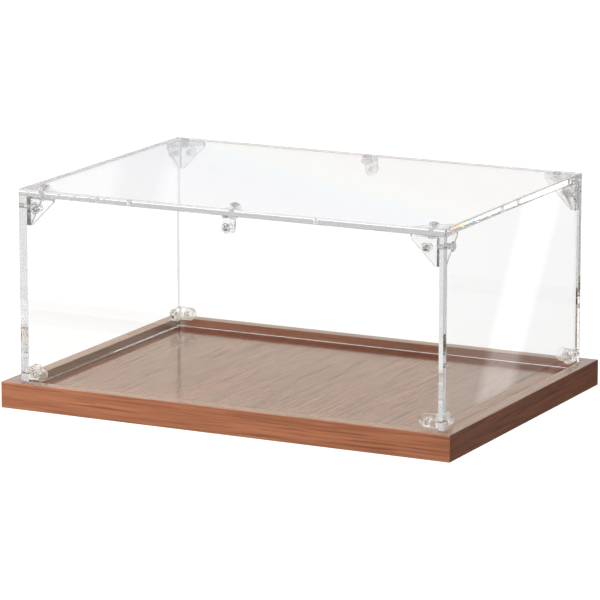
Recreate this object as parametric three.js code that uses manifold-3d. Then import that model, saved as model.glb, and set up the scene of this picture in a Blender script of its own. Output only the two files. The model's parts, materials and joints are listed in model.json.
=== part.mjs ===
// A display case: a clear acrylic cover, held together by clear brackets and screws, that stands in
// the recess of a shallow wooden tray and lifts straight off it.
//
// Units are millimetres. +X runs along the long side, -Y is the front and +Z is up.
// The origin is the centre of the tray's underside.

import * as THREE from "three";
import { mergeVertices } from "three/addons/utils/BufferGeometryUtils.js";
import Module from "manifold-3d";

const wasm = await Module();
wasm.setup();

// ---------------------------------------------------------------- driving dimensions

const tray = {
  length: 360, // outside, along X
  width: 262, // outside, along Y
  height: 19.5,
  rail: 10, // width of the rim
  recess: 6, // depth of the floor below the rim
};

const cover = {
  sheet: 5, // acrylic thickness
  height: 148, // from the tray's floor to the top surface
  play: 0.5, // gap to the rim all round
};

// Brackets. "reach" is how far a screw's axis is from each inner face that the bracket lies on, and
// "straight" is the length of a leg up to the middle of its half-round end.
const bracketWall = 2.5;
const cornerBracket = { reach: 9, leg: 22, tip: 3.5 };
const edgeBracket = { reach: 9, straight: 9, halfWidth: 4.9 };
const footBracket = {
  reach: 7,
  straight: 9.7,
  halfWidth: 4.8,
  height: 11.1, // of its middle above the floor
};
const boss = { radius: 2.7, rise: 1.5 };

const screw = {
  shankRadius: 1.5,
  shankTip: 0.5, // how far the shank stands out of the boss
  headRadius: 3.7,
  headHeight: 2,
  headRim: 0.8, // straight part of the head's side
  headGap: 0.1, // running gap under the head
  slotLength: 3.8,
  slotWidth: 1,
  slotDepth: 1,
};
const screwHoleRadius = 1.85;

const screwSides = 16; // flats round a screw
const holeSides = 16; // flats round a hole
const archSides = 8; // flats round a bracket's half-round end

// ---------------------------------------------------------------- sizes that follow

const floorZ = tray.height - tray.recess;
const topZ = floorZ + cover.height;
const ceilingZ = topZ - cover.sheet;

const outerX = tray.length / 2 - tray.rail - cover.play; // outside of the end panels
const outerY = tray.width / 2 - tray.rail - cover.play; // outside of the front and back panels
const innerX = outerX - cover.sheet;
const innerY = outerY - cover.sheet;

const footZ = floorZ + footBracket.height;
const shankLength = cover.sheet + bracketWall + boss.rise + screw.shankTip;

const X = new THREE.Vector3(1, 0, 0);
const Y = new THREE.Vector3(0, 1, 0);
const Z = new THREE.Vector3(0, 0, 1);

const sides = [
  { name: "front", y: -1 },
  { name: "back", y: 1 },
];
const ends = [
  { name: "left", x: -1 },
  { name: "right", x: 1 },
];

// ---------------------------------------------------------------- materials

const look = {
  board: { color: 0xb39a8a, roughness: 0.62, metalness: 0 },
  rail: { color: 0xa9674a, roughness: 0.5, metalness: 0 },
  acrylic: { color: 0xe9edf0, roughness: 0.04, metalness: 0, transparent: true, opacity: 0.3 },
  fitting: { color: 0xdfe4e6, roughness: 0.1, metalness: 0, transparent: true, opacity: 0.55 },
};

// ---------------------------------------------------------------- solids

// A closed three.js geometry as a manifold solid.
function solid(geometry) {
  const bare = geometry.clone();
  bare.deleteAttribute("normal");
  bare.deleteAttribute("uv");
  const merged = mergeVertices(bare, 1e-4);
  return new wasm.Manifold(
    new wasm.Mesh({
      numProp: 3,
      vertProperties: new Float32Array(merged.attributes.position.array),
      triVerts: new Uint32Array(merged.index.array),
    }),
  );
}

// A manifold solid as a three.js geometry.
function geometryOf(body) {
  const mesh = body.getMesh();
  const geometry = new THREE.BufferGeometry();
  geometry.setAttribute("position", new THREE.BufferAttribute(new Float32Array(mesh.vertProperties), 3));
  geometry.setIndex(new THREE.BufferAttribute(new Uint32Array(mesh.triVerts), 1));
  geometry.computeVertexNormals();
  return geometry;
}

// Moves a geometry drawn in the XY plane, and raised along Z, so that it lies in the plane of
// "along" and "across" with its thickness running along "side".
function turned(geometry, along, side, at) {
  const across = new THREE.Vector3().crossVectors(side, along);
  const matrix = new THREE.Matrix4().makeBasis(along, across, side);
  matrix.setPosition(at);
  return geometry.applyMatrix4(matrix);
}

function extruded(points, depth) {
  return new THREE.ExtrudeGeometry(new THREE.Shape(points), { depth, bevelEnabled: false });
}

// A round rod that starts at "at" and runs along "axis".
function rod(radius, length, axis, at) {
  const geometry = new THREE.CylinderGeometry(radius, radius, length, holeSides);
  geometry.translate(0, length / 2, 0);
  geometry.applyQuaternion(new THREE.Quaternion().setFromUnitVectors(Y, axis));
  geometry.translate(at.x, at.y, at.z);
  return solid(geometry);
}

const nodes = new THREE.Group();

function addNode(name, geometry, finish) {
  const mesh = new THREE.Mesh(geometry, new THREE.MeshStandardMaterial(finish));
  mesh.name = name;
  nodes.add(mesh);
}

// ---------------------------------------------------------------- screws

// Every screw has the point where its axis meets the panel's outer face, the direction it is
// driven in, and the bracket that it screws into.
const screws = [];

function addScrew(panel, place, bracket, inward, at) {
  screws.push({ name: `${panel}_screw_${place}`, panel: `${panel}_panel`, bracket, inward, at });
}

for (const side of sides) {
  const wall = side.y * outerY;
  const intoCase = new THREE.Vector3(0, -side.y, 0);
  for (const end of ends) {
    const endWall = end.x * outerX;
    const intoEnd = new THREE.Vector3(-end.x, 0, 0);
    const place = `${side.name}_${end.name}`;

    const corner = `corner_bracket_${place}`;
    const cornerX = end.x * (innerX - cornerBracket.reach);
    const cornerY = side.y * (innerY - cornerBracket.reach);
    const cornerZ = ceilingZ - cornerBracket.reach;
    addScrew("top", place, corner, Z.clone().negate(), new THREE.Vector3(cornerX, cornerY, topZ));
    addScrew(side.name, `upper_${end.name}`, corner, intoCase, new THREE.Vector3(cornerX, wall, cornerZ));
    addScrew(end.name, `upper_${side.name}`, corner, intoEnd, new THREE.Vector3(endWall, cornerY, cornerZ));

    const foot = `foot_bracket_${place}`;
    const footX = end.x * (innerX - footBracket.reach);
    const footY = side.y * (innerY - footBracket.reach);
    addScrew(side.name, `lower_${end.name}`, foot, intoCase, new THREE.Vector3(footX, wall, footZ));
    addScrew(end.name, `lower_${side.name}`, foot, intoEnd, new THREE.Vector3(endWall, footY, footZ));
  }

  const edge = `edge_bracket_${side.name}`;
  const edgeY = side.y * (innerY - edgeBracket.reach);
  const edgeZ = ceilingZ - edgeBracket.reach;
  addScrew("top", `${side.name}_middle`, edge, Z.clone().negate(), new THREE.Vector3(0, edgeY, topZ));
  addScrew(side.name, "upper_middle", edge, intoCase, new THREE.Vector3(0, wall, edgeZ));
}

// A domed head with a cross slot, on a plain shank. It is drawn with its head up along Y.
function screwSolid() {
  const half = screw.headRadius;
  const base = screw.headGap;
  const profile = [
    new THREE.Vector2(0, -shankLength),
    new THREE.Vector2(screw.shankRadius, -shankLength),
    new THREE.Vector2(screw.shankRadius, base),
    new THREE.Vector2(half, base),
    new THREE.Vector2(half, base + screw.headRim),
    new THREE.Vector2(half * 0.75, base + screw.headHeight * 0.85),
    new THREE.Vector2(0, base + screw.headHeight),
  ];
  let body = solid(new THREE.LatheGeometry(profile, screwSides));
  const slotY = base + screw.headHeight;
  for (const size of [[screw.slotLength, screw.slotWidth], [screw.slotWidth, screw.slotLength]]) {
    const slot = new THREE.BoxGeometry(size[0], 2 * screw.slotDepth, size[1]);
    slot.translate(0, slotY, 0);
    body = body.subtract(solid(slot));
  }
  return body;
}

const screwShape = geometryOf(screwSolid());

for (const item of screws) {
  const geometry = screwShape.clone();
  geometry.applyQuaternion(new THREE.Quaternion().setFromUnitVectors(Y, item.inward.clone().negate()));
  geometry.translate(item.at.x, item.at.y, item.at.z);
  addNode(item.name, geometry, look.fitting);
}

// Cuts the hole of every screw in the list.
function drilled(body, list) {
  const margin = 1;
  for (const item of list) {
    const start = item.at.clone().addScaledVector(item.inward, -margin);
    const length = shankLength + 2 * margin;
    body = body.subtract(rod(screwHoleRadius, length, item.inward, start));
  }
  return body;
}

// ---------------------------------------------------------------- tray

function box(low, high) {
  const geometry = new THREE.BoxGeometry(high.x - low.x, high.y - low.y, high.z - low.z);
  geometry.translate((low.x + high.x) / 2, (low.y + high.y) / 2, (low.z + high.z) / 2);
  return geometry;
}

const boardX = tray.length / 2 - tray.rail;
const boardY = tray.width / 2 - tray.rail;
addNode(
  "base_board",
  box(new THREE.Vector3(-boardX, -boardY, 0), new THREE.Vector3(boardX, boardY, floorZ)),
  look.board,
);

// Four rails, mitred where they meet.
function rail(name, from, to) {
  const outline = [from, to].flatMap(([sx, sy], index) => {
    const outer = new THREE.Vector2((sx * tray.length) / 2, (sy * tray.width) / 2);
    const inner = new THREE.Vector2(sx * boardX, sy * boardY);
    return index === 0 ? [inner, outer] : [outer, inner];
  });
  addNode(name, extruded(outline, tray.height), look.rail);
}

rail("front_rail", [-1, -1], [1, -1]);
rail("right_rail", [1, -1], [1, 1]);
rail("back_rail", [1, 1], [-1, 1]);
rail("left_rail", [-1, 1], [-1, -1]);

// ---------------------------------------------------------------- acrylic panels

function panel(name, low, high) {
  const own = screws.filter((item) => item.panel === name);
  addNode(name, geometryOf(drilled(solid(box(low, high)), own)), look.acrylic);
}

// The front and back panels run the full length, the end panels fit between them, and the top
// panel lies on all four.
panel(
  "front_panel",
  new THREE.Vector3(-outerX, -outerY, floorZ),
  new THREE.Vector3(outerX, -innerY, ceilingZ),
);
panel(
  "back_panel",
  new THREE.Vector3(-outerX, innerY, floorZ),
  new THREE.Vector3(outerX, outerY, ceilingZ),
);
panel(
  "left_panel",
  new THREE.Vector3(-outerX, -innerY, floorZ),
  new THREE.Vector3(-innerX, innerY, ceilingZ),
);
panel(
  "right_panel",
  new THREE.Vector3(innerX, -innerY, floorZ),
  new THREE.Vector3(outerX, innerY, ceilingZ),
);
panel(
  "top_panel",
  new THREE.Vector3(-outerX, -outerY, ceilingZ),
  new THREE.Vector3(outerX, outerY, topZ),
);

// ---------------------------------------------------------------- brackets

// Adds the boss of every screw that belongs to the bracket, then cuts the screw holes.
function finished(name, body) {
  const own = screws.filter((item) => item.bracket === name);
  for (const item of own) {
    const start = item.at.clone().addScaledVector(item.inward, cover.sheet);
    body = body.add(rod(boss.radius, bracketWall + boss.rise, item.inward, start));
  }
  return drilled(body, own);
}

// Three triangular plates that meet at right angles. "inward" holds the three directions that
// lead away from the inner corner, and each plate is square to one of them.
function threeWayBracket(name, corner, inward) {
  const { leg, tip } = cornerBracket;
  const outline = [
    new THREE.Vector2(0, 0),
    new THREE.Vector2(leg, 0),
    new THREE.Vector2(leg, tip),
    new THREE.Vector2(tip, leg),
    new THREE.Vector2(0, leg),
  ];
  let body = null;
  inward.forEach((side, index) => {
    const first = inward[(index + 1) % 3];
    const second = inward[(index + 2) % 3];
    const rightHanded = new THREE.Vector3().crossVectors(side, first).dot(second) > 0;
    const plate = solid(turned(extruded(outline, bracketWall), rightHanded ? first : second, side, corner));
    body = body ? body.add(plate) : plate;
  });
  addNode(name, geometryOf(finished(name, body)), look.fitting);
}

// Two legs with half-round ends, at right angles. Each leg runs along one direction and its
// thickness runs along the other.
function angleBracket(name, spec, corner, first, second) {
  const outline = [new THREE.Vector2(0, spec.halfWidth), new THREE.Vector2(0, -spec.halfWidth)];
  for (let step = 0; step <= archSides; step += 1) {
    const angle = -Math.PI / 2 + (Math.PI * step) / archSides;
    const x = spec.straight + spec.halfWidth * Math.cos(angle);
    outline.push(new THREE.Vector2(x, spec.halfWidth * Math.sin(angle)));
  }
  const legA = solid(turned(extruded(outline, bracketWall), first, second, corner));
  const legB = solid(turned(extruded(outline, bracketWall), second, first, corner));
  addNode(name, geometryOf(finished(name, legA.add(legB))), look.fitting);
}

const down = Z.clone().negate();

for (const side of sides) {
  const intoSide = Y.clone().multiplyScalar(-side.y);
  for (const end of ends) {
    const intoEnd = X.clone().multiplyScalar(-end.x);
    const place = `${side.name}_${end.name}`;
    const cornerX = end.x * innerX;
    const cornerY = side.y * innerY;
    threeWayBracket(
      `corner_bracket_${place}`,
      new THREE.Vector3(cornerX, cornerY, ceilingZ),
      [intoEnd, intoSide, down],
    );
    angleBracket(
      `foot_bracket_${place}`,
      footBracket,
      new THREE.Vector3(cornerX, cornerY, footZ),
      intoEnd,
      intoSide,
    );
  }
  angleBracket(
    `edge_bracket_${side.name}`,
    edgeBracket,
    new THREE.Vector3(0, side.y * innerY, ceilingZ),
    intoSide,
    down,
  );
}

export default nodes;
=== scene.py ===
"""Looks for a display case: a clear acrylic cover, screwed together through clear brackets, standing
in a shallow wooden tray.

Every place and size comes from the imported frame. What the frame doesn't say, such as edge roundings,
the screw's form and the materials, is named below. Lengths are metres unless a name ends in _MM."""
import json
import math

import bmesh
import bpy
from mathutils import Matrix, Vector
from mathutils.geometry import tessellate_polygon


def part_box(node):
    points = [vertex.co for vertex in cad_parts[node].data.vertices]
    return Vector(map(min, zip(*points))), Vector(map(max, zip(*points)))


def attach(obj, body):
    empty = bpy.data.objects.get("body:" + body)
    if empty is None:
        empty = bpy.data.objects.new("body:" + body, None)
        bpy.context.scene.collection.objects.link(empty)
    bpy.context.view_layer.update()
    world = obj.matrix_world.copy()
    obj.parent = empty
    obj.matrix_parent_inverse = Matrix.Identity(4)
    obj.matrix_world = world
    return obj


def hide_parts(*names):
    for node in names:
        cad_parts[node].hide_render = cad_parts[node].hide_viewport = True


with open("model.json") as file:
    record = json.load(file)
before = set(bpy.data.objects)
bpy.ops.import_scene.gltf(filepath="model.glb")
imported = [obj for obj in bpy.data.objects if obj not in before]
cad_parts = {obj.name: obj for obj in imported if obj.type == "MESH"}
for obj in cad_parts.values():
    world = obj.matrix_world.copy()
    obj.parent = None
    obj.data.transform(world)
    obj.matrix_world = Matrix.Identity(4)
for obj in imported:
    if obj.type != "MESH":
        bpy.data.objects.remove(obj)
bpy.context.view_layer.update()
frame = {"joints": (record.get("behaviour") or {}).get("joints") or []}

MM = 0.001
X = Vector((1.0, 0.0, 0.0))
Y = Vector((0.0, 1.0, 0.0))
Z = Vector((0.0, 0.0, 1.0))

# ---------------------------------------------------------------- sizes of the finer shapes

AIR_GAP = 0.06 * MM  # between pieces that touch, so that light sees air there
ARC_STEPS = 4  # facets across a rounded edge

RAIL_EDGE = 0.5 * MM
RAIL_JOINT = 0.04 * MM  # half of the hairline where two rails meet
BOARD_EDGE = 0.25 * MM
PANEL_EDGE = 0.12 * MM
TOP_EDGE = 0.30 * MM
# The wider rounding of the scuffed arrises, whose pale colour is partly a painted highlight.
WORN_AND_HIGHLIT_EDGE = 0.32 * MM

HOLE_RADIUS = 1.85 * MM
HOLE_SIDES = 40

BRACKET_WALL = 2.5 * MM
BRACKET_EDGE = 0.22 * MM
BOSS_RADIUS = 2.7 * MM
BOSS_RISE = 1.5 * MM
CORNER_TIP = 3.5 * MM
TIP_ROUND = 0.9 * MM

HEAD_RADIUS = 3.7 * MM
HEAD_GAP = 0.1 * MM
HEAD_RIM = 0.6 * MM
HEAD_HEIGHT = 2.0 * MM
SHANK_RADIUS = 1.5 * MM
THREAD_DEPTH = 0.22 * MM
THREAD_PITCH = 0.7 * MM
THREAD_ROWS = 6  # per turn
THREAD_END = 0.4 * MM  # below the panel's outer face
SHANK_TIP = 0.5 * MM
HEAD_UNDERCUT = 0.15 * MM
DOME_STEPS = 9
SCREW_SIDES = 40
RECESS_SPAN = 3.9 * MM
RECESS_WIDTH = 1.0 * MM
RECESS_DEPTH = 1.3 * MM

# ---------------------------------------------------------------- what a ray of light has met

# Each limit lies between two whole counts: THROUGH counts the faces that light has crossed, and MIRRORED
# the faces that it was mirrored in.
THROUGH_ONE_FACE = 1.5
THROUGH_ONE_PANEL = 2.5
THROUGH_TWO_PIECES = 4.5
MIRRORED_ONCE = 0.5
MIRRORED_OFTEN = 5.5

# ---------------------------------------------------------------- places, read from the frame

_, front_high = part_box("front_panel")
_, left_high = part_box("left_panel")
top_low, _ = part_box("top_panel")
board_low, board_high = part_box("base_board")
rail_low, rail_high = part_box("front_rail")

CEILING = top_low.z
INNER_X = -left_high.x
INNER_Y = -front_high.y
RAIL_WIDTH = rail_high.y - rail_low.y

SCREW_JOINTS = [joint for joint in frame["joints"] if joint["type"] == "hinge"]


# ---------------------------------------------------------------- node helpers


class Nodes:
    """Short calls for building one node tree."""

    def __init__(self, tree):
        self.tree = tree
        tree.nodes.clear()

    def add(self, kind, **settings):
        node = self.tree.nodes.new(kind)
        for key, value in settings.items():
            setattr(node, key, value)
        return node

    def link(self, source, target):
        self.tree.links.new(source, target)

    def feed(self, socket, value):
        if hasattr(value, "is_output"):
            self.link(value, socket)
        else:
            socket.default_value = value

    def math(self, operation, a, b=None, clamp=False):
        node = self.add("ShaderNodeMath", operation=operation, use_clamp=clamp)
        self.feed(node.inputs[0], a)
        if b is not None:
            self.feed(node.inputs[1], b)
        return node.outputs[0]

    def above(self, value, limit):
        return self.math("GREATER_THAN", value, limit)

    def below(self, value, limit):
        return self.math("LESS_THAN", value, limit)

    def all_of(self, first, *others):
        """1 where every value is 1."""
        for value in others:
            first = self.math("MULTIPLY", first, value)
        return first

    def parts(self, vector):
        node = self.add("ShaderNodeSeparateXYZ")
        self.link(vector, node.inputs[0])
        return node.outputs

    def finish(self, surface, volume=None):
        out = self.add("ShaderNodeOutputMaterial")
        self.link(surface, out.inputs["Surface"])
        if volume is not None:
            self.link(volume, out.inputs["Volume"])

    def noise(self, vector, scale, detail=3.0, roughness=0.5, distortion=0.0):
        node = self.add("ShaderNodeTexNoise")
        self.link(vector, node.inputs["Vector"])
        node.inputs["Scale"].default_value = scale
        node.inputs["Detail"].default_value = detail
        node.inputs["Roughness"].default_value = roughness
        node.inputs["Distortion"].default_value = distortion
        return node.outputs["Fac"]

    def stretched(self, vector, scale):
        node = self.add("ShaderNodeMapping")
        self.link(vector, node.inputs["Vector"])
        node.inputs["Scale"].default_value = scale
        return node.outputs["Vector"]

    def ramp(self, value, stops):
        node = self.add("ShaderNodeValToRGB")
        elements = node.color_ramp.elements
        while len(elements) < len(stops):
            elements.new(0.5)
        for element, (position, colour) in zip(elements, stops):
            element.position = position
            element.color = (*colour, 1.0)
        self.feed(node.inputs["Fac"], value)
        return node.outputs["Color"]

    def between(self, value, low, high, to_low=0.0, to_high=1.0):
        node = self.add("ShaderNodeMapRange")
        self.feed(node.inputs["Value"], value)
        node.inputs["From Min"].default_value = low
        node.inputs["From Max"].default_value = high
        self.feed(node.inputs["To Min"], to_low)
        self.feed(node.inputs["To Max"], to_high)
        return node.outputs["Result"]

    def mix_colour(self, factor, a, b, blend="MIX"):
        node = self.add("ShaderNodeMix", data_type="RGBA", blend_type=blend)
        self.feed(node.inputs["Factor"], factor)
        self.feed(node.inputs[6], a)
        self.feed(node.inputs[7], b)
        return node.outputs[2]

    def mix_shader(self, factor, a, b):
        node = self.add("ShaderNodeMixShader")
        self.feed(node.inputs[0], factor)
        self.link(a, node.inputs[1])
        self.link(b, node.inputs[2])
        return node.outputs[0]

    def bump(self, height, strength, distance):
        node = self.add("ShaderNodeBump")
        self.link(height, node.inputs["Height"])
        node.inputs["Strength"].default_value = strength
        node.inputs["Distance"].default_value = distance
        return node.outputs["Normal"]


def grey(level):
    return (level, level, level, 1.0)


def guided_ray(n):
    """1 for light that has run along inside a sheet, mirrored from face to face."""
    path = n.add("ShaderNodeLightPath")
    return n.above(path.outputs["Glossy Depth"], MIRRORED_OFTEN)


def scattered_ray(n):
    """1 for light that reaches the wood after running along inside a sheet, after crossing a boss or a
    screw, or, in the middle of the board, after being mirrored at a low angle. Where it is 1, the wood is
    painted with light in place of its colour."""
    path = n.add("ShaderNodeLightPath")
    geometry = n.add("ShaderNodeNewGeometry")
    x, y, _ = n.parts(geometry.outputs["Position"])
    slope = n.parts(geometry.outputs["Incoming"])[2]
    crossed = n.above(path.outputs["Transmission Depth"], THROUGH_TWO_PIECES)
    mirrored = n.all_of(
        n.above(path.outputs["Glossy Depth"], MIRRORED_ONCE),
        n.above(path.outputs["Transmission Depth"], THROUGH_ONE_FACE),
        n.below(n.math("ABSOLUTE", x), MIDDLE_X),
        n.above(y, MIDDLE_Y[0]),
        n.below(y, MIDDLE_Y[1]),
        n.below(slope, LOW_ANGLE),
    )
    return n.math("MAXIMUM", n.math("MAXIMUM", guided_ray(n), crossed), mirrored)


def new_material(name):
    material = bpy.data.materials.new(name)
    material.use_nodes = True
    return material, Nodes(material.node_tree)


# ---------------------------------------------------------------- materials

# Painted light: the bright grey painted in place of the wood's colour where scattered light reaches it, and
# the part of the board where it is painted.
PAINTED_LIGHT_ON_WOOD = 1.55
MIDDLE_X = 0.150
MIDDLE_Y = (-0.095, 0.070)
LOW_ANGLE = 0.4

# Waves per metre along the grain, across it and into the board.
DRIFT_WAVES = (2.0, 14.0, 14.0)
FIBRE_WAVES = (16.0, 420.0, 420.0)
PORE_WAVES = (20.0, 620.0, 620.0)
BAND_WAVES_ALONG = 8.0

DRIFT_SHARE = 0.20
BAND_SHARE = 0.45
FIBRE_SHARE = 0.35
PORE_DEPTH = 0.02 * MM
GRAIN_SHIFT = (3.7, 1.3, 0.6)  # metres from one board to the next

LACQUER_IOR = 1.5
LACQUER_ROUGHNESS = 0.12
LACQUER_TINT = (1.0, 0.94, 0.86, 1.0)
POLISH_TINT = (1.0, 0.97, 0.86, 1.0)

CLEAREST = (0.995, 0.997, 1.0)
RIPPLE_DEPTH = 0.2 * MM
SCUFF_WAVES = (300.0, 300.0, 900.0)
PASSED_LIGHT = 0.91  # left of a lamp's light after each face of a clear piece


def wood(name, light, dark, pore, band_width):
    """Lacquered, open-pored hardwood. The mesh's "grain" attribute holds, in metres, the distance along
    the grain, across it and into the board."""
    material, n = new_material(name)
    grain = n.add("ShaderNodeAttribute", attribute_name="grain").outputs["Vector"]

    drift = n.noise(n.stretched(grain, DRIFT_WAVES), 1.0, detail=2.0)
    band_waves = (BAND_WAVES_ALONG, 1.0 / band_width, 1.0 / band_width)
    bands = n.noise(n.stretched(grain, band_waves), 1.0, detail=4.0, roughness=0.62, distortion=0.6)
    fibres = n.noise(n.stretched(grain, FIBRE_WAVES), 1.0, detail=4.0, roughness=0.65)
    tone = n.math("ADD", n.math("MULTIPLY", bands, BAND_SHARE), n.math("MULTIPLY", drift, DRIFT_SHARE))
    tone = n.math("ADD", tone, n.math("MULTIPLY", fibres, FIBRE_SHARE))
    middle = [(a + b) / 2 for a, b in zip(light, dark)]
    colour = n.ramp(tone, [(0.41, dark), (0.50, middle), (0.59, light)])

    dashes = n.noise(n.stretched(grain, PORE_WAVES), 1.0, detail=3.0)
    pores = n.between(dashes, 0.52, 0.66)
    where = n.between(bands, 0.40, 0.62, 0.35, 1.0)
    pores = n.math("MULTIPLY", pores, where, clamp=True)
    colour = n.mix_colour(n.math("MULTIPLY", pores, 0.7), colour, (*pore, 1.0))
    # Painted light: where scattered light reaches the wood, a bright grey replaces its colour.
    colour = n.mix_colour(scattered_ray(n), colour, grey(PAINTED_LIGHT_ON_WOOD))

    height = n.math("SUBTRACT", n.math("MULTIPLY", fibres, 0.35), pores)
    normal = n.bump(height, 0.2, PORE_DEPTH)
    gloss = n.math("ADD", n.between(fibres, 0.3, 0.7, 0.18, 0.11), n.math("MULTIPLY", pores, 0.10))

    shader = n.add("ShaderNodeBsdfPrincipled")
    n.link(colour, shader.inputs["Base Color"])
    n.link(gloss, shader.inputs["Roughness"])
    n.link(normal, shader.inputs["Normal"])
    shader.inputs["IOR"].default_value = LACQUER_IOR
    shader.inputs["Specular Tint"].default_value = POLISH_TINT
    n.link(n.between(pores, 0.0, 1.0, 0.5, 0.3), shader.inputs["Specular IOR Level"])
    n.link(n.between(pores, 0.0, 1.0, 0.78, 0.50), shader.inputs["Coat Weight"])
    n.link(normal, shader.inputs["Coat Normal"])
    shader.inputs["Coat Roughness"].default_value = LACQUER_ROUGHNESS
    shader.inputs["Coat IOR"].default_value = LACQUER_IOR
    shader.inputs["Coat Tint"].default_value = LACQUER_TINT
    n.finish(shader.outputs[0])
    return material


def clear_plastic(name, ior, roughness, tint, absorption, waves, ripple):
    """Clear plastic that bends and mirrors light, and absorbs some of it per metre. Waves is how many
    clouds fit in a metre, and ripple how far they bend the surface. Lamps and bounced light pass
    straight through, so that what stands behind is lit evenly."""
    material, n = new_material(name)
    place = n.add("ShaderNodeTexCoord").outputs["Object"]
    cloud = n.noise(place, waves, detail=3.0)
    shader = n.add("ShaderNodeBsdfPrincipled")
    n.link(n.ramp(cloud, [(0.3, tint), (0.7, CLEAREST)]), shader.inputs["Base Color"])
    n.link(n.between(cloud, 0.3, 0.7, roughness * 0.6, roughness * 1.4), shader.inputs["Roughness"])
    shader.inputs["IOR"].default_value = ior
    shader.inputs["Transmission Weight"].default_value = 1.0
    if ripple:
        n.link(n.bump(cloud, ripple, RIPPLE_DEPTH), shader.inputs["Normal"])

    path = n.add("ShaderNodeLightPath")
    through = n.math("MAXIMUM", path.outputs["Is Shadow Ray"], path.outputs["Is Diffuse Ray"])
    window = n.add("ShaderNodeBsdfTransparent")
    window.inputs["Color"].default_value = grey(PASSED_LIGHT)
    surface = n.mix_shader(through, shader.outputs[0], window.outputs[0])
    if not absorption:
        n.finish(surface)
        return material

    inside = n.add("ShaderNodeVolumeAbsorption")
    inside.inputs["Color"].default_value = grey(0.0)
    inside.inputs["Density"].default_value = absorption
    n.finish(surface, inside.outputs[0])
    return material


def worn_and_highlit_plastic(name):
    """The scuffed arrises at the foot, which the case has been stood and slid on, and those at the back
    corners. Their pale warm colour is partly a painted highlight, standing in for the bright lines along
    these edges.
    """
    material, n = new_material(name)
    place = n.add("ShaderNodeTexCoord").outputs["Object"]
    scuffs = n.noise(n.stretched(place, SCUFF_WAVES), 1.0, detail=3.0)
    # Painted highlight: the pale warm colour draws the bright lines that these edges show.
    colour = n.ramp(scuffs, [(0.35, (0.72, 0.52, 0.44)), (0.65, (0.88, 0.70, 0.60))])
    shader = n.add("ShaderNodeBsdfPrincipled")
    n.link(colour, shader.inputs["Base Color"])
    shader.inputs["Roughness"].default_value = 0.55
    n.finish(shader.outputs[0])
    return material


BOARD_WOOD = wood("board_wood", (0.60, 0.180, 0.102), (0.30, 0.086, 0.050), (0.09, 0.035, 0.024), 0.0026)
RAIL_WOOD = wood("rail_wood", (0.63, 0.278, 0.166), (0.44, 0.184, 0.110), (0.20, 0.080, 0.050), 0.006)

ACRYLIC = clear_plastic("acrylic", 1.491, 0.002, (0.99, 0.993, 0.995), 1.05, 9.0, 0.0)
WORN_AND_HIGHLIT_ACRYLIC = worn_and_highlit_plastic("worn_and_highlit_acrylic")
# The foot rests on the board, so its underside doesn't bend or mirror light.
SEATED_ACRYLIC = clear_plastic("seated_acrylic", 1.0, 0.0, (0.99, 0.993, 0.995), 0.0, 9.0, 0.0)
FITTING = clear_plastic("clear_fitting", 1.57, 0.02, (0.97, 0.975, 0.98), 30.0, 260.0, 0.15)
# Painted light: the fittings at the foot are a lit copy of the same plastic, drawn clearer and paler than
# those at the top so that they read brighter.
LIT_FOOT_FITTING = clear_plastic("lit_foot_fitting", 1.57, 0.04, (0.99, 0.99, 0.99), 2.0, 260.0, 0.25)


# ---------------------------------------------------------------- mesh helpers


def finish_piece(mesh, name, body, material, replaced):
    """Turns a mesh into a shown piece that stands for a CAD node."""
    mesh.materials.clear()
    mesh.materials.append(material)
    piece = bpy.data.objects.new(name, mesh)
    bpy.context.scene.collection.objects.link(piece)
    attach(piece, body)
    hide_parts(replaced)
    return piece


def shade_by_angle(mesh, degrees):
    """Smooth shading, broken where two faces meet at more than this angle."""
    for polygon in mesh.polygons:
        polygon.use_smooth = True
    mesh.set_sharp_from_angle(angle=math.radians(degrees))


def hole_loop(x, y):
    """The clockwise outline of a screw's hole."""
    angles = [-2.0 * math.pi * step / HOLE_SIDES for step in range(HOLE_SIDES)]
    return [Vector((x + HOLE_RADIUS * math.cos(a), y + HOLE_RADIUS * math.sin(a))) for a in angles]


def inset(loop, amounts):
    """The loop with every corner moved to its left-hand side by its own amount."""
    moved = []
    count = len(loop)
    for index, (point, amount) in enumerate(zip(loop, amounts)):
        before = (point - loop[index - 1]).normalized()
        after = (loop[(index + 1) % count] - point).normalized()
        corner = Vector((-before.y - after.y, before.x + after.x))
        moved.append(point + corner * (amount * 2.0 / corner.length_squared))
    return moved


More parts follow.
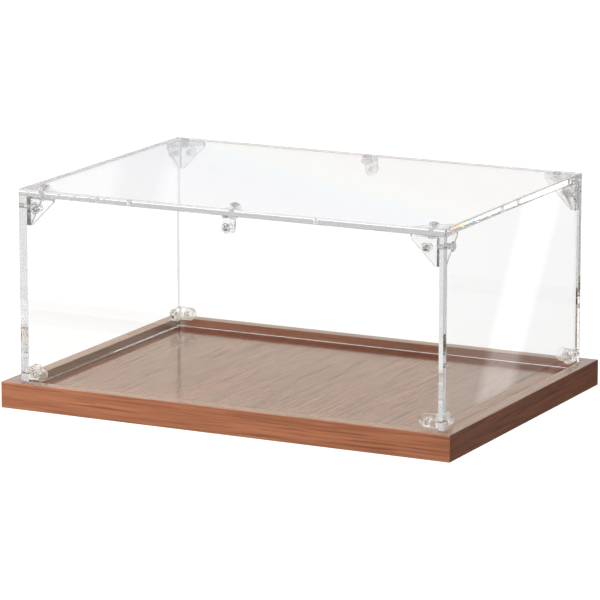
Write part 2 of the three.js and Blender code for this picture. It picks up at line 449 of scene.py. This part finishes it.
def plate_mesh(name, outer, holes, thickness, edge, worn_and_highlit=(), seated=()):
    """A flat plate in the XY plane from z 0 to the thickness, with all its edges rounded. The outer loop
    runs anticlockwise and the holes run clockwise. The upper arrises of the outer loop whose indices are in
    worn_and_highlit are wider, and their faces take the second material, which is scuffed and painted with a
    highlight. The other faces of the sides whose indices are in seated take the third."""
    bm = bmesh.new()
    loops = [outer, *holes]
    lower = [[edge] * len(loop) for loop in loops]
    upper = [list(radii) for radii in lower]
    for index in worn_and_highlit:
        upper[0][index] = WORN_AND_HIGHLIT_EDGE
        upper[0][(index + 1) % len(outer)] = WORN_AND_HIGHLIT_EDGE
    rings = []
    for side, radii in ((0.0, lower), (thickness, upper)):
        levels = []
        for step in range(ARC_STEPS + 1):
            a = math.pi / 2.0 * step / ARC_STEPS
            level = []
            for loop, sizes in zip(loops, radii):
                points = inset(loop, [size * (1.0 - math.sin(a)) for size in sizes])
                rises = [abs(side - size * (1.0 - math.cos(a))) for size in sizes]
                level.append([bm.verts.new((p.x, p.y, z)) for p, z in zip(points, rises)])
            levels.append(level)
        rings += levels if side == 0.0 else reversed(levels)
    for level, (below, above) in enumerate(zip(rings, rings[1:])):
        for number, (ring_low, ring_high) in enumerate(zip(below, above)):
            count = len(ring_low)
            for i in range(count):
                j = (i + 1) % count
                face = bm.faces.new((ring_low[i], ring_low[j], ring_high[j], ring_high[i]))
                if number == 0 and i in worn_and_highlit and level > ARC_STEPS:
                    face.material_index = 1
                elif number == 0 and i in seated:
                    face.material_index = 2
    for level, downwards in ((rings[0], True), (rings[-1], False)):
        flat = [vertex for ring in level for vertex in ring]
        for triangle in tessellate_polygon([[v.co for v in ring] for ring in level]):
            corners = [flat[index] for index in triangle]
            normal = (corners[1].co - corners[0].co).cross(corners[2].co - corners[0].co)
            if (normal.z < 0.0) != downwards:
                corners.reverse()
            bm.faces.new(corners)
    mesh = bpy.data.meshes.new(name)
    bm.to_mesh(mesh)
    bm.free()
    return mesh


def rectangle(low, high):
    return [Vector(low), Vector((high[0], low[1])), Vector(high), Vector((low[0], high[1]))]


def set_grain(mesh, along, across, seed):
    """Stores where each vertex sits in the board that the piece was cut from."""
    up = along.cross(across)
    attribute = mesh.attributes.new("grain", "FLOAT_VECTOR", "POINT")
    for vertex, value in zip(mesh.vertices, attribute.data):
        places = [vertex.co.dot(axis) for axis in (along, across, up)]
        value.vector = [place + shift * seed for place, shift in zip(places, GRAIN_SHIFT)]


# ---------------------------------------------------------------- the wooden tray


def build_board():
    outline = rectangle((board_low.x, board_low.y), (board_high.x, board_high.y))
    mesh = plate_mesh("board", outline, [], board_high.z - board_low.z, BOARD_EDGE)
    mesh.transform(Matrix.Translation((0.0, 0.0, board_low.z)))
    set_grain(mesh, Y, -X, 1.0)
    finish_piece(mesh, "tray_board", "tray", BOARD_WOOD, "base_board")


def rail_profile(width, height, edge):
    """Section of a rail: u runs inwards from the outer face and z runs up, anticlockwise."""
    points = []
    corners = [
        ((edge, edge), math.pi),
        ((width - edge, edge), 1.5 * math.pi),
        ((width - edge, height - edge), 0.0),
        ((edge, height - edge), 0.5 * math.pi),
    ]
    for (u, z), start in corners:
        for step in range(ARC_STEPS + 1):
            a = start + 0.5 * math.pi * step / ARC_STEPS
            points.append((u + edge * math.cos(a), z + edge * math.sin(a)))
    return points


def build_rail(name, turn, length, depth, seed):
    """A rail along the front, mitred at both ends, then turned about the centre to its own side.
    depth is how far its outer face is from the centre."""
    bm = bmesh.new()
    ends = []
    profile = rail_profile(RAIL_WIDTH - RAIL_JOINT, rail_high.z - rail_low.z, RAIL_EDGE)
    for side in (-1.0, 1.0):
        ring = [
            bm.verts.new((side * (length / 2.0 - u - RAIL_JOINT), -depth + u, z)) for u, z in profile
        ]
        ends.append(ring)
    count = len(profile)
    for i in range(count):
        j = (i + 1) % count
        bm.faces.new((ends[0][i], ends[1][i], ends[1][j], ends[0][j]))
    bm.faces.new(ends[0])
    bm.faces.new(list(reversed(ends[1])))
    bmesh.ops.recalc_face_normals(bm, faces=bm.faces)
    mesh = bpy.data.meshes.new(name)
    bm.to_mesh(mesh)
    bm.free()
    set_grain(mesh, X, Y, seed)
    mesh.transform(Matrix.Rotation(math.radians(turn), 4, "Z"))
    finish_piece(mesh, f"tray_{name}", "tray", RAIL_WOOD, name)


def build_tray():
    build_board()
    long_side = rail_high.x - rail_low.x
    short_side = -2.0 * rail_low.y
    build_rail("front_rail", 0.0, long_side, short_side / 2.0, 2.0)
    build_rail("right_rail", 90.0, short_side, long_side / 2.0, 3.0)
    build_rail("back_rail", 180.0, long_side, short_side / 2.0, 4.0)
    build_rail("left_rail", 270.0, short_side, long_side / 2.0, 5.0)


# ---------------------------------------------------------------- the acrylic cover


def build_panel(name, u, v, edge):
    """A panel whose flat lies along u and v and whose outside faces along u x v, drilled for every
    screw that runs through it."""
    low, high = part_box(name)
    low = low + Vector((AIR_GAP,) * 3)
    high = high - Vector((AIR_GAP,) * 3)
    outward = u.cross(v)
    inside = min(low.dot(outward), high.dot(outward))
    thickness = abs((high - low).dot(outward))
    holes = []
    for joint in SCREW_JOINTS:
        place = Vector(joint["pos_m"])
        if Vector(joint["axis"]).dot(outward) > 0.5 and place.dot(outward) > inside:
            holes.append(hole_loop(place.dot(u), place.dot(v)))
    outer = rectangle((low.dot(u), low.dot(v)), (high.dot(u), high.dot(v)))
    # The foot's arrises and the back corners' upright outer arrises take the scuffed material; its pale
    # colour is partly a painted highlight.
    worn_and_highlit = []
    seated = []
    for index, start in enumerate(outer):
        middle = (start + outer[(index + 1) % 4]) / 2.0
        height = middle.x * u.z + middle.y * v.z
        at_foot = outward.z < 0.5 and height < low.z + edge
        at_back_corner = outward.y > 0.5 and abs(height - (low.z + high.z) / 2.0) < edge
        if at_foot or at_back_corner:
            worn_and_highlit.append(index)
        if at_foot:
            seated.append(index)
    mesh = plate_mesh(name, outer, holes, thickness, edge, worn_and_highlit, seated)
    placed(mesh, u, v, outward * inside)
    piece = finish_piece(mesh, f"acrylic_{name}", "cover", ACRYLIC, name)
    piece.data.materials.append(WORN_AND_HIGHLIT_ACRYLIC)
    piece.data.materials.append(SEATED_ACRYLIC)


def build_panels():
    build_panel("front_panel", X, Z, PANEL_EDGE)
    build_panel("back_panel", Z, X, PANEL_EDGE)
    build_panel("left_panel", Z, Y, PANEL_EDGE)
    build_panel("right_panel", Y, Z, PANEL_EDGE)
    build_panel("top_panel", X, Y, TOP_EDGE)


# ---------------------------------------------------------------- joined shapes


def combined(name, first, others, operation):
    """The first mesh with the others joined to it or cut from it."""
    base = bpy.data.objects.new(name, first)
    bpy.context.scene.collection.objects.link(base)
    tools = []
    for mesh in others:
        tool = bpy.data.objects.new("tool", mesh)
        bpy.context.scene.collection.objects.link(tool)
        modifier = base.modifiers.new("join", "BOOLEAN")
        modifier.operation = operation
        modifier.solver = "EXACT"
        modifier.object = tool
        tools.append(tool)
    depsgraph = bpy.context.evaluated_depsgraph_get()
    result = bpy.data.meshes.new_from_object(base.evaluated_get(depsgraph), depsgraph=depsgraph)
    for helper in (base, *tools):
        bpy.data.objects.remove(helper)
    return result


def eased(name, mesh, width):
    """The mesh with its sharp edges rounded and its flats kept flat."""
    mesh.shade_smooth()
    base = bpy.data.objects.new(name, mesh)
    bpy.context.scene.collection.objects.link(base)
    modifier = base.modifiers.new("ease", "BEVEL")
    modifier.width = width
    modifier.segments = 2
    modifier.limit_method = "ANGLE"
    modifier.angle_limit = math.radians(30.0)
    modifier.harden_normals = True
    depsgraph = bpy.context.evaluated_depsgraph_get()
    result = bpy.data.meshes.new_from_object(base.evaluated_get(depsgraph), depsgraph=depsgraph)
    bpy.data.objects.remove(base)
    return result


def rod_mesh(radius, length):
    """A rod along +Z that starts at the origin."""
    bm = bmesh.new()
    bmesh.ops.create_cone(
        bm,
        cap_ends=True,
        cap_tris=False,
        segments=HOLE_SIDES,
        radius1=radius,
        radius2=radius,
        depth=length,
    )
    bmesh.ops.translate(bm, verts=bm.verts, vec=(0.0, 0.0, length / 2.0))
    mesh = bpy.data.meshes.new("rod")
    bm.to_mesh(mesh)
    bm.free()
    return mesh


def prism_mesh(outline, thickness):
    """A closed prism over an anticlockwise outline, from z 0 up."""
    bm = bmesh.new()
    lower = [bm.verts.new((p.x, p.y, 0.0)) for p in outline]
    upper = [bm.verts.new((p.x, p.y, thickness)) for p in outline]
    count = len(outline)
    for i in range(count):
        j = (i + 1) % count
        bm.faces.new((lower[i], lower[j], upper[j], upper[i]))
    bm.faces.new(list(reversed(lower)))
    bm.faces.new(upper)
    mesh = bpy.data.meshes.new("prism")
    bm.to_mesh(mesh)
    bm.free()
    return mesh


def placed(mesh, x_axis, y_axis, origin=Vector((0.0, 0.0, 0.0))):
    """The mesh turned so that its X and Y run along these directions, and moved to the origin given."""
    z_axis = x_axis.cross(y_axis)
    matrix = Matrix.Identity(4)
    for row in range(3):
        matrix[row][0] = x_axis[row]
        matrix[row][1] = y_axis[row]
        matrix[row][2] = z_axis[row]
        matrix[row][3] = origin[row]
    mesh.transform(matrix)
    return mesh


# ---------------------------------------------------------------- brackets


def rounded_outline(points, radius):
    """The anticlockwise outline, with the corners that aren't kept rounded off."""
    rounded = []
    count = len(points)
    for index, (point, keep) in enumerate(points):
        if keep:
            rounded.append(point)
            continue
        before = (points[index - 1][0] - point).normalized()
        after = (points[(index + 1) % count][0] - point).normalized()
        half = before.angle(after) / 2.0
        reach = radius / math.tan(half)
        centre = point + (before + after).normalized() * (radius / math.sin(half))
        start = point + before * reach - centre
        end = point + after * reach - centre
        sweep = start.angle_signed(end)
        for step in range(ARC_STEPS + 1):
            turned = start.copy()
            turned.rotate(Matrix.Rotation(-sweep * step / ARC_STEPS, 2))
            rounded.append(centre + turned)
    return rounded


def drilled_bracket(name, plates, screws):
    """Joins the plates, adds a boss round every screw, bores the holes and eases the edges. A screw is
    given by the direction its boss rises in, and by where its axis meets the plate."""
    bosses = []
    bores = []
    for rise, start in screws:
        side = X if abs(rise.x) < 0.5 else Y
        bosses.append(placed(rod_mesh(BOSS_RADIUS, BRACKET_WALL + BOSS_RISE), side, rise.cross(side), start))
        long_bore = rod_mesh(HOLE_RADIUS, 4.0 * (BRACKET_WALL + BOSS_RISE))
        bores.append(placed(long_bore, side, rise.cross(side), start - rise * BRACKET_WALL))
    whole = combined(name, plates[0], [*plates[1:], *bosses], "UNION")
    whole = combined(name, whole, bores, "DIFFERENCE")
    return eased(name, whole, BRACKET_EDGE)


def corner_shape(leg, reach):
    """Three triangular plates at right angles, with their common corner at the origin."""
    outline = rounded_outline(
        [
            (Vector((0.0, 0.0)), True),
            (Vector((leg, 0.0)), True),
            (Vector((leg, CORNER_TIP)), False),
            (Vector((CORNER_TIP, leg)), False),
            (Vector((0.0, leg)), True),
        ],
        TIP_ROUND,
    )
    plates = [placed(prism_mesh(outline, BRACKET_WALL), a, b) for a, b in ((X, Y), (Y, Z), (Z, X))]
    screws = [
        (Z, Vector((reach, reach, 0.0))),
        (X, Vector((0.0, reach, reach))),
        (Y, Vector((reach, 0.0, reach))),
    ]
    return drilled_bracket("corner_shape", plates, screws)


def angle_shape(name, length, half_width, reach):
    """Two legs with half-round ends, along +X and +Y, with their common edge on the Z axis. Each screw's
    axis is at the reach from the other leg's outer face."""
    outline = [Vector((0.0, half_width)), Vector((0.0, -half_width))]
    steps = 20
    for step in range(steps + 1):
        a = -math.pi / 2.0 + math.pi * step / steps
        outline.append(Vector((length - half_width + half_width * math.cos(a), half_width * math.sin(a))))
    first = placed(prism_mesh(outline, BRACKET_WALL), X, -Z)
    second = placed(prism_mesh(outline, BRACKET_WALL), Y, Z)
    screws = [(Y, Vector((reach, 0.0, 0.0))), (X, Vector((0.0, reach, 0.0)))]
    return drilled_bracket(name, [first, second], screws)


def mirrored(mesh, scale, origin):
    """A copy of the mesh flipped along the axes whose scale is -1, with its outside kept outside."""
    copy = mesh.copy()
    copy.transform(Matrix.Translation(origin) @ Matrix.Diagonal((*scale, 1.0)))
    if scale[0] * scale[1] * scale[2] < 0.0:
        copy.flip_normals()
    return copy


def screw_place(name):
    return Vector(next(joint["pos_m"] for joint in SCREW_JOINTS if joint["child"] == name))


def build_brackets():
    corner_low, corner_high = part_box("corner_bracket_front_left")
    corner_reach = screw_place("top_screw_front_left").x + INNER_X
    corner = corner_shape(corner_high.x - corner_low.x, corner_reach)

    foot_low, foot_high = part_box("foot_bracket_front_left")
    foot_reach = screw_place("front_screw_lower_left").x + INNER_X
    foot_z = (foot_low.z + foot_high.z) / 2.0
    foot = angle_shape(
        "foot_shape", foot_high.x - foot_low.x, (foot_high.z - foot_low.z) / 2.0, foot_reach
    )

    edge_low, edge_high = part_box("edge_bracket_front")
    edge_reach = CEILING - screw_place("front_screw_upper_middle").z
    edge = angle_shape(
        "edge_shape", edge_high.y - edge_low.y, (edge_high.x - edge_low.x) / 2.0, edge_reach
    )
    edge = placed(edge, Y, -Z)

    for side, y in (("front", -1.0), ("back", 1.0)):
        for end, x in (("left", -1.0), ("right", 1.0)):
            inner = Vector((x * (INNER_X - AIR_GAP), y * (INNER_Y - AIR_GAP), CEILING - AIR_GAP))
            mesh = mirrored(corner, (-x, -y, -1.0), inner)
            name = f"corner_bracket_{side}_{end}"
            finish_piece(mesh, f"clear_{name}", "cover", FITTING, name)

            inner.z = foot_z
            mesh = mirrored(foot, (-x, -y, 1.0), inner)
            name = f"foot_bracket_{side}_{end}"
            finish_piece(mesh, f"clear_{name}", "cover", LIT_FOOT_FITTING, name)

        inner = Vector((0.0, y * (INNER_Y - AIR_GAP), CEILING - AIR_GAP))
        mesh = mirrored(edge, (1.0, -y, 1.0), inner)
        name = f"edge_bracket_{side}"
        finish_piece(mesh, f"clear_{name}", "cover", FITTING, name)


# ---------------------------------------------------------------- screws


def screw_profile(length):
    """Radius and height of each ring from the shank's tip to the dome's crown."""
    rings = [(SHANK_RADIUS - SHANK_TIP, -length)]
    step = THREAD_PITCH / THREAD_ROWS
    start, stop = -length + SHANK_TIP, -THREAD_END
    rows = int((stop - start) / step)
    for row in range(rows + 1):
        rings.append((SHANK_RADIUS, start + (stop - start) * row / rows))
    rings.append((SHANK_RADIUS - THREAD_DEPTH, 0.0))
    rings.append((SHANK_RADIUS - THREAD_DEPTH * 0.5, HEAD_GAP))
    rings.append((HEAD_RADIUS - HEAD_UNDERCUT, HEAD_GAP))
    rings.append((HEAD_RADIUS, HEAD_GAP + HEAD_UNDERCUT))
    rim = HEAD_GAP + HEAD_RIM
    crown = HEAD_GAP + HEAD_HEIGHT
    for index in range(DOME_STEPS):
        a = 0.5 * math.pi * index / DOME_STEPS
        rings.append((HEAD_RADIUS * math.cos(a) ** 0.8, rim + (crown - rim) * math.sin(a)))
    return rings, start, stop


def threaded_radius(radius, z, angle, start, stop):
    """The ring's radius with the thread cut into it, running out at both ends."""
    if not start < z < stop:
        return radius
    turn = (z / THREAD_PITCH - angle / (2.0 * math.pi)) % 1.0
    cut = abs(2.0 * turn - 1.0)
    fade = min(1.0, (z - start) / THREAD_PITCH, (stop - z) / THREAD_PITCH)
    return radius - THREAD_DEPTH * cut * fade


def recess_meshes():
    """The two wings of the cross-shaped driver recess, tapered towards its bottom."""
    overshoot = 0.2 * MM
    top = HEAD_GAP + HEAD_HEIGHT + overshoot
    bottom = top - RECESS_DEPTH - overshoot
    wings = []
    for turned in (False, True):
        bm = bmesh.new()
        rings = []
        for z, span, width in ((bottom, 0.45, 0.55), (top, 1.0, 1.15)):
            a, b = span * RECESS_SPAN / 2.0, width * RECESS_WIDTH / 2.0
            corners = [(a, b), (-a, b), (-a, -b), (a, -b)]
            rings.append([bm.verts.new((y, -x, z) if turned else (x, y, z)) for x, y in corners])
        for i in range(4):
            j = (i + 1) % 4
            bm.faces.new((rings[0][i], rings[0][j], rings[1][j], rings[1][i]))
        bm.faces.new(list(reversed(rings[0])))
        bm.faces.new(rings[1])
        bmesh.ops.recalc_face_normals(bm, faces=bm.faces)
        mesh = bpy.data.meshes.new("wing")
        bm.to_mesh(mesh)
        bm.free()
        wings.append(mesh)
    return wings


def screw_shape(length):
    """The screw with its axis along +Z, and the panel's outer face at z 0."""
    profile, start, stop = screw_profile(length)
    bm = bmesh.new()
    rings = []
    for radius, z in profile:
        ring = []
        for side in range(SCREW_SIDES):
            a = 2.0 * math.pi * side / SCREW_SIDES
            r = threaded_radius(radius, z, a, start, stop)
            ring.append(bm.verts.new((r * math.cos(a), r * math.sin(a), z)))
        rings.append(ring)
    for lower, upper in zip(rings, rings[1:]):
        for i in range(SCREW_SIDES):
            j = (i + 1) % SCREW_SIDES
            bm.faces.new((lower[i], lower[j], upper[j], upper[i]))
    bm.faces.new(list(reversed(rings[0])))
    crown = bm.verts.new((0.0, 0.0, HEAD_GAP + HEAD_HEIGHT))
    for i in range(SCREW_SIDES):
        bm.faces.new((rings[-1][i], rings[-1][(i + 1) % SCREW_SIDES], crown))
    mesh = bpy.data.meshes.new("screw_blank")
    bm.to_mesh(mesh)
    bm.free()
    mesh = combined("screw", mesh, recess_meshes(), "DIFFERENCE")
    shade_by_angle(mesh, 40.0)
    return mesh


def build_screws():
    first = SCREW_JOINTS[0]
    low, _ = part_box(first["child"])
    shape = screw_shape(first["pos_m"][2] - low.z)
    for joint in SCREW_JOINTS:
        name = joint["child"]
        axis = Vector(joint["axis"])
        side = X if abs(axis.x) < 0.5 else Y
        place = Vector(joint["pos_m"])
        mesh = placed(shape.copy(), side, axis.cross(side), place)
        # Painted light: the screws at the foot take the lit copy of the plastic.
        material = LIT_FOOT_FITTING if place.z < CEILING / 2.0 else FITTING
        finish_piece(mesh, f"clear_{name}", name, material, name)


# ---------------------------------------------------------------- floor, light and camera

# The camera looks at AIM from here.
AZIMUTH = math.radians(26.861)
ELEVATION = math.radians(12.2195)
DISTANCE = 3.12357
LENS_MM = 255.55
AIM = Vector((-0.00127, -0.00239, 0.07279))

MANY_BOUNCES = 64

# Brightness of the room. SEEN is what the camera sees past the case, and FILL what lights dull surfaces.
# LOW is below the horizon and HIGH above it. BACK is beyond the case and FRONT on the camera's side.
# OUTER is mirrored in an outer face, INNER after crossing a panel, and GUIDED has run along inside a
# sheet. CAMERA_SIDE is for light that is turned back after crossing several pieces.
SEEN = 1.16
FILL = (0.205, 0.145, 0.085, 1.0)
OUTER_LOW = 0.05
OUTER_SECOND_LOW = 0.70
OUTER_WINDOW = 0.95
INNER_BACK_LOW = 1.35
INNER_SHADE = 0.8
INNER_FRONT_LOW = 0.75
BACK_SHEEN = (1.27, 1.17, 1.00, 1.0)
FRONT_SHEEN = (0.35, 0.33, 0.30, 1.0)
CAMERA_SIDE = 0.30
GUIDED_BACK_LOW = 1.10
GUIDED_BACK_HIGH = 0.80
GUIDED_FRONT_LOW = 0.75
GUIDED_FRONT_HIGH = 2.5
SKY_FALL = [(0.0, (0.88, 0.88, 0.88)), (0.35, (0.75, 0.75, 0.75)), (0.8, (0.45, 0.45, 0.45))]

KEY_DIRECTION = Vector((-0.45, -0.60, 0.66))
KEY_RIM = 0.955
KEY_SOFTNESS = 0.02
KEY_GLARE = 3.0
LAMP_PLACE = Vector((-0.55, -0.95, 0.50))
LAMP_SIDE = 0.5
LAMP_POWER = 10.0

# Bands of the room, by how far across the view they stand: a window that outer faces mirror, a shade
# that inner faces mirror, and the colours that the sheets' edges spread light into.
BAND_SLANT = 0.25
WINDOW_PLACE = 0.0510
WINDOW_WIDTH = 0.0040
SHADE_PLACE = -0.0444
SHADE_WIDTH = 0.0060
PRISM_PLACE = 0.0378
PRISM_WIDTH = 0.0045
PRISM_TINTS = [
    (0.0, (1.0, 1.0, 1.0)),
    (0.12, (0.80, 0.50, 0.62)),
    (0.35, (0.95, 0.62, 0.38)),
    (0.55, (1.0, 0.95, 0.50)),
    (0.75, (0.60, 0.90, 0.95)),
    (0.90, (0.85, 0.80, 1.0)),
    (1.0, (1.0, 1.0, 1.0)),
]
SKY_TINTS = [
    (0.0, (0.97, 0.955, 0.985)),
    (0.25, (0.94, 0.93, 1.0)),
    (0.36, (0.91, 0.98, 1.0)),
    (0.44, (0.99, 1.0, 0.95)),
    (0.55, (1.0, 0.96, 0.92)),
    (0.75, (1.0, 0.94, 0.93)),
    (1.0, (0.98, 0.95, 0.96)),
]


def lit_band(n, place, centre, half_width):
    """1 in the middle of a band and 0 outside it, with soft borders."""
    away = n.math("ABSOLUTE", n.math("SUBTRACT", place, centre))
    return n.between(away, half_width * 0.6, half_width * 1.2, 1.0, 0.0)


def surroundings(n, direction):
    """Brightness of the room in a direction. What is seen straight or only through the cover is white.
    The rest depends on what the light has met on its way."""
    path = n.add("ShaderNodeLightPath")
    crossed = path.outputs["Transmission Depth"]
    x, y, z = n.parts(direction)
    # Upward is 1 above the horizon, and away is 1 beyond the case.
    upward = n.between(z, -0.03, 0.06)
    away = n.between(y, -0.2, 0.2)
    along_y = n.math("MULTIPLY", n.math("ABSOLUTE", y), math.sin(AZIMUTH))
    along_x = n.math("MULTIPLY", n.math("ABSOLUTE", x), math.cos(AZIMUTH))
    across = n.math("SUBTRACT", along_y, along_x)
    rise = n.math("SUBTRACT", math.sin(ELEVATION), n.math("ABSOLUTE", z))
    slanted = n.math("SUBTRACT", across, n.math("MULTIPLY", rise, BAND_SLANT))
    window = lit_band(n, slanted, WINDOW_PLACE, WINDOW_WIDTH)
    shade = lit_band(n, slanted, SHADE_PLACE, SHADE_WIDTH)

    sky_place = n.between(n.math("ADD", rise, n.math("MULTIPLY", across, 0.3)), 0.015, 0.050)
    sky = n.mix_colour(1.0, n.ramp(z, SKY_FALL), n.ramp(sky_place, SKY_TINTS), "MULTIPLY")
    towards_key = n.add("ShaderNodeVectorMath", operation="DOT_PRODUCT")
    n.link(direction, towards_key.inputs[0])
    towards_key.inputs[1].default_value = KEY_DIRECTION
    softbox = n.between(towards_key.outputs["Value"], KEY_RIM, KEY_RIM + KEY_SOFTNESS)
    sky = n.mix_colour(1.0, sky, n.mix_colour(softbox, grey(0.0), grey(KEY_GLARE)), "ADD")

    second_face = n.all_of(away, n.above(crossed, THROUGH_ONE_FACE))
    outer_low = n.between(second_face, 0.0, 1.0, OUTER_LOW, OUTER_SECOND_LOW)
    outer_low = n.between(window, 0.0, 1.0, outer_low, OUTER_WINDOW)
    inner_low = n.between(shade, 0.0, 1.0, INNER_BACK_LOW, INNER_SHADE)
    inner_low = n.between(away, 0.0, 1.0, INNER_FRONT_LOW, inner_low)
    inside = n.above(crossed, THROUGH_ONE_PANEL)
    low = n.between(inside, 0.0, 1.0, outer_low, inner_low)
    sheen = n.mix_colour(away, FRONT_SHEEN, BACK_SHEEN)
    high = n.mix_colour(1.0, sky, n.mix_colour(inside, grey(1.0), sheen), "MULTIPLY")
    reflected = n.mix_colour(upward, low, high)
    turned_back = n.all_of(n.above(crossed, THROUGH_TWO_PIECES), n.below(y, 0.0))
    reflected = n.mix_colour(turned_back, reflected, grey(CAMERA_SIDE))

    spread = n.between(across, PRISM_PLACE - PRISM_WIDTH, PRISM_PLACE + PRISM_WIDTH)
    prism = n.mix_colour(1.0, n.ramp(spread, PRISM_TINTS), grey(GUIDED_FRONT_HIGH), "MULTIPLY")
    guided_front = n.mix_colour(upward, grey(GUIDED_FRONT_LOW), prism)
    guided_back = n.between(upward, 0.0, 1.0, GUIDED_BACK_LOW, GUIDED_BACK_HIGH)
    guided = n.mix_colour(away, guided_front, guided_back)
    reflected = n.mix_colour(guided_ray(n), reflected, guided)

    mirrored = n.above(path.outputs["Glossy Depth"], MIRRORED_ONCE)
    level = n.mix_colour(mirrored, grey(SEEN), reflected)
    return n.mix_colour(path.outputs["Is Diffuse Ray"], level, FILL)


def build_stage():
    """A pale floor that lights itself enough to stay white."""
    reach = 12.0
    drop = 0.3 * MM
    bm = bmesh.new()
    corners = [(-reach, -reach), (reach, -reach), (reach, reach), (-reach, reach)]
    bm.faces.new([bm.verts.new((x, y, -drop)) for x, y in corners])
    mesh = bpy.data.meshes.new("floor")
    bm.to_mesh(mesh)
    bm.free()
    floor = bpy.data.objects.new("floor", mesh)
    bpy.context.scene.collection.objects.link(floor)
    material, n = new_material("pale_floor")
    incoming = n.add("ShaderNodeNewGeometry").outputs["Incoming"]
    outgoing = n.add("ShaderNodeVectorMath", operation="SCALE")
    n.link(incoming, outgoing.inputs[0])
    outgoing.inputs["Scale"].default_value = -1.0
    glow = n.add("ShaderNodeEmission")
    n.link(surroundings(n, outgoing.outputs[0]), glow.inputs["Color"])
    dull = n.add("ShaderNodeBsdfDiffuse")
    dull.inputs["Color"].default_value = grey(0.10)
    both = n.add("ShaderNodeAddShader")
    n.link(glow.outputs[0], both.inputs[0])
    n.link(dull.outputs[0], both.inputs[1])
    n.finish(both.outputs[0])
    material.cycles.emission_sampling = "NONE"
    mesh.materials.append(material)


def build_world():
    world = bpy.data.worlds.new("studio")
    bpy.context.scene.world = world
    world.use_nodes = True
    world.cycles.sampling_method = "NONE"
    n = Nodes(world.node_tree)
    direction = n.add("ShaderNodeTexCoord").outputs["Generated"]
    background = n.add("ShaderNodeBackground")
    n.link(surroundings(n, direction), background.inputs["Color"])
    out = n.add("ShaderNodeOutputWorld")
    n.link(background.outputs[0], out.inputs["Surface"])


def build_lamp():
    """The key lamp. Only what scatters light takes its light, since surroundings() shows its glare."""
    data = bpy.data.lights.new("key", "AREA")
    data.shape = "RECTANGLE"
    data.size = LAMP_SIDE
    data.size_y = LAMP_SIDE
    data.energy = LAMP_POWER
    lamp = bpy.data.objects.new("key", data)
    bpy.context.scene.collection.objects.link(lamp)
    lamp.location = LAMP_PLACE
    lamp.rotation_mode = "QUATERNION"
    lamp.rotation_quaternion = (-LAMP_PLACE).to_track_quat("-Z", "Y")
    lamp.visible_glossy = False
    lamp.visible_transmission = False


def build_camera():
    data = bpy.data.cameras.new("camera")
    data.lens = LENS_MM
    camera = bpy.data.objects.new("camera", data)
    bpy.context.scene.collection.objects.link(camera)
    back = Vector(
        (
            math.sin(AZIMUTH) * math.cos(ELEVATION),
            -math.cos(AZIMUTH) * math.cos(ELEVATION),
            math.sin(ELEVATION),
        )
    )
    camera.location = AIM + back * DISTANCE
    camera.rotation_mode = "QUATERNION"
    camera.rotation_quaternion = (-back).to_track_quat("-Z", "Y")
    bpy.context.scene.camera = camera


def set_light_paths():
    """Light runs many times up and down inside a sheet before it leaves by an edge."""
    scene = bpy.context.scene
    scene.view_settings.view_transform = "Standard"
    scene.cycles.max_bounces = MANY_BOUNCES
    scene.cycles.transmission_bounces = MANY_BOUNCES
    scene.cycles.glossy_bounces = MANY_BOUNCES
    scene.cycles.diffuse_bounces = 3
    scene.cycles.transparent_max_bounces = 48


build_tray()
build_panels()
build_brackets()
build_screws()
build_stage()
build_world()
build_lamp()
build_camera()
set_light_paths()
